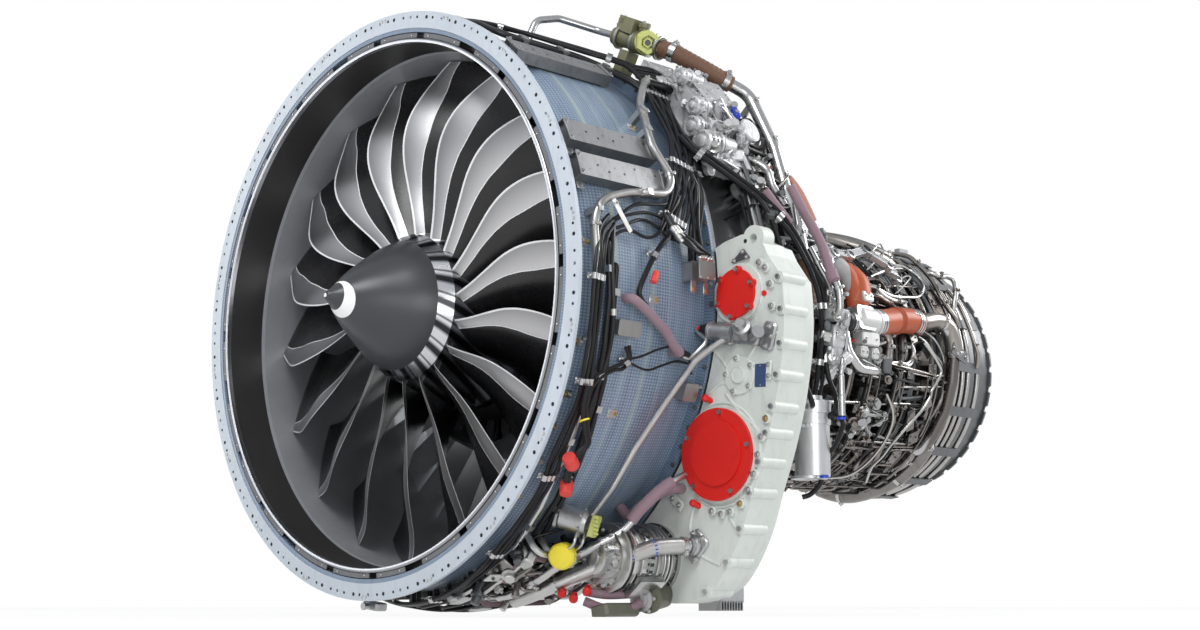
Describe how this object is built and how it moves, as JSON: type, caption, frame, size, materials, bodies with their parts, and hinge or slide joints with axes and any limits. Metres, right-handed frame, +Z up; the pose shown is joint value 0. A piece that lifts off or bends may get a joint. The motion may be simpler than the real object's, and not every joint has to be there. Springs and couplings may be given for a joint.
{
  "type": "turbofan engine",
  "caption": "Large turbofan jet engine without its nacelle: fan, woven case, gearbox with pumps, core and turbines, with turning spools and vane control",
  "frame": {"origin": "the centre of the front face of the intake flange, on the engine axis", "axes": "+Y along the engine axis from the intake to the exhaust, +Z up to the side of the mounts, +X to the gearbox side"},
  "size_m": [2.6742, 3.557, 2.3375],
  "materials": {
    "flange_paint": "pale blue-grey satin paint",
    "woven_case": "blue woven fibre with fine pale yarns under resin",
    "liner_paint": "matt grey acoustic lining",
    "frame_metal": "machined, dull",
    "vane_metal": "satin",
    "spinner_paint": "dark grey satin with an off-centre white ring",
    "polished_metal": "polished",
    "steel": "bare, fine grain",
    "blade_composite": "black composite with a satin metal leading edge",
    "rotor_metal": "dull",
    "hot_metal": "heat tinted, dull",
    "gearbox_paint": "pale grey-green satin over a casting",
    "red_cover": "glossy red",
    "cast_aluminium": "cast, fine grain",
    "olive_paint": "olive, satin",
    "brown_wrap": "brown wrapped sleeve with banding",
    "black_cable": "black sheathing",
    "mauve_hose": "mauve fire sleeve, matt",
    "box_metal": "anodised, satin"
  },
  "bodies": {
    "engine": {"anti_ice_valve": "olive_paint", "blade_track": "liner_paint", "bleed_ducts": "hot_metal", "bolts_and_clamps": "steel", "booster_case": "vane_metal", "case_rails": "steel", "case_tubes": "steel", "combustor_case": "hot_metal", "combustor_liner": "hot_metal", "compressor_case": "hot_metal", "connector_boxes": "box_metal", "cooling_manifold": "hot_metal", "core_valve": "cast_aluminium", "drive_shaft_housing": "hot_metal", "duct_sleeves": "brown_wrap", "engine_control_unit": "box_metal", "fan_case": "woven_case", "fan_frame_ring": "frame_metal", "fan_harness": "black_cable", "fan_hub_frame": "frame_metal", "flexible_hoses": "black_cable", "front_flange": "flange_paint", "front_mount": "frame_metal", "fuel_control_unit": "cast_aluminium", "fuel_filter": "cast_aluminium", "fuel_nozzles": "hot_metal", "gearbox_front_housing": "gearbox_paint", "gearbox_rear_housing": "gearbox_paint", "generator": "cast_aluminium", "hydraulic_pump": "cast_aluminium", "inlet_liner": "liner_paint", "large_gearbox_cover": "red_cover", "lubrication_unit": "cast_aluminium", "manifold_plates": "hot_metal", "oil_cooler": "cast_aluminium", "oil_tank": "box_metal", "outlet_guide_vanes": "vane_metal", "rear_liners": "liner_paint", "rear_sump_cover": "frame_metal", "shaft_bearings": "steel", "sleeved_hoses": "mauve_hose", "small_gearbox_cover": "red_cover", "splitter_fairing": "vane_metal", "starter": "cast_aluminium", "turbine_case": "hot_metal", "turbine_rear_frame": "frame_metal", "vane_actuator": "steel", "vane_levers": "steel"},
    "lp_spool": {"spinner": "spinner_paint", "blade_platforms": "polished_metal", "fan_disk": "steel", "fan_blades": "blade_composite", "booster_rotor": "rotor_metal", "lp_shaft": "steel", "lp_turbine_rotor": "rotor_metal"},
    "core_spool": {"core_compressor_rotor": "rotor_metal", "core_turbine_rotor": "rotor_metal"},
    "radial_shaft": {"radial_drive_shaft": "steel"},
    "vane_ring_set": {"vane_rings": "steel"},
    "vane_actuator_rod": {"vane_rod": "steel"}
  },
  "joints": [
    {"name": "lp_spool_spin", "type": "hinge", "parent": "engine", "child": "lp_spool", "pos_m": [0, 0.5, 0], "axis": [0, 1, 0], "continuous": true},
    {"name": "core_spool_spin", "type": "hinge", "parent": "engine", "child": "core_spool", "pos_m": [0, 1.6, 0], "axis": [0, 1, 0], "continuous": true},
    {"name": "radial_shaft_spin", "type": "hinge", "parent": "engine", "child": "radial_shaft", "pos_m": [0.55433, 1.112, -0.22961], "axis": [0.9239, 0, -0.3827], "continuous": true},
    {"name": "vane_rings_turn", "type": "hinge", "parent": "engine", "child": "vane_ring_set", "pos_m": [0, 1.33, 0], "axis": [0, 1, 0], "range_deg": [-2.3, 2.3], "deforming": ["vane_levers"]},
    {"name": "vane_rod_slide", "type": "slide", "parent": "engine", "child": "vane_actuator_rod", "axis": [-0.342, 0, -0.9397], "range_m": [-0.0182, 0.0182]}
  ],
  "couplings": [
    {"joint": "radial_shaft_spin", "follows": "core_spool_spin", "ratio": 1.5},
    {"joint": "vane_rod_slide", "follows": "vane_rings_turn", "m_per_rad": 0.446}
  ]
}
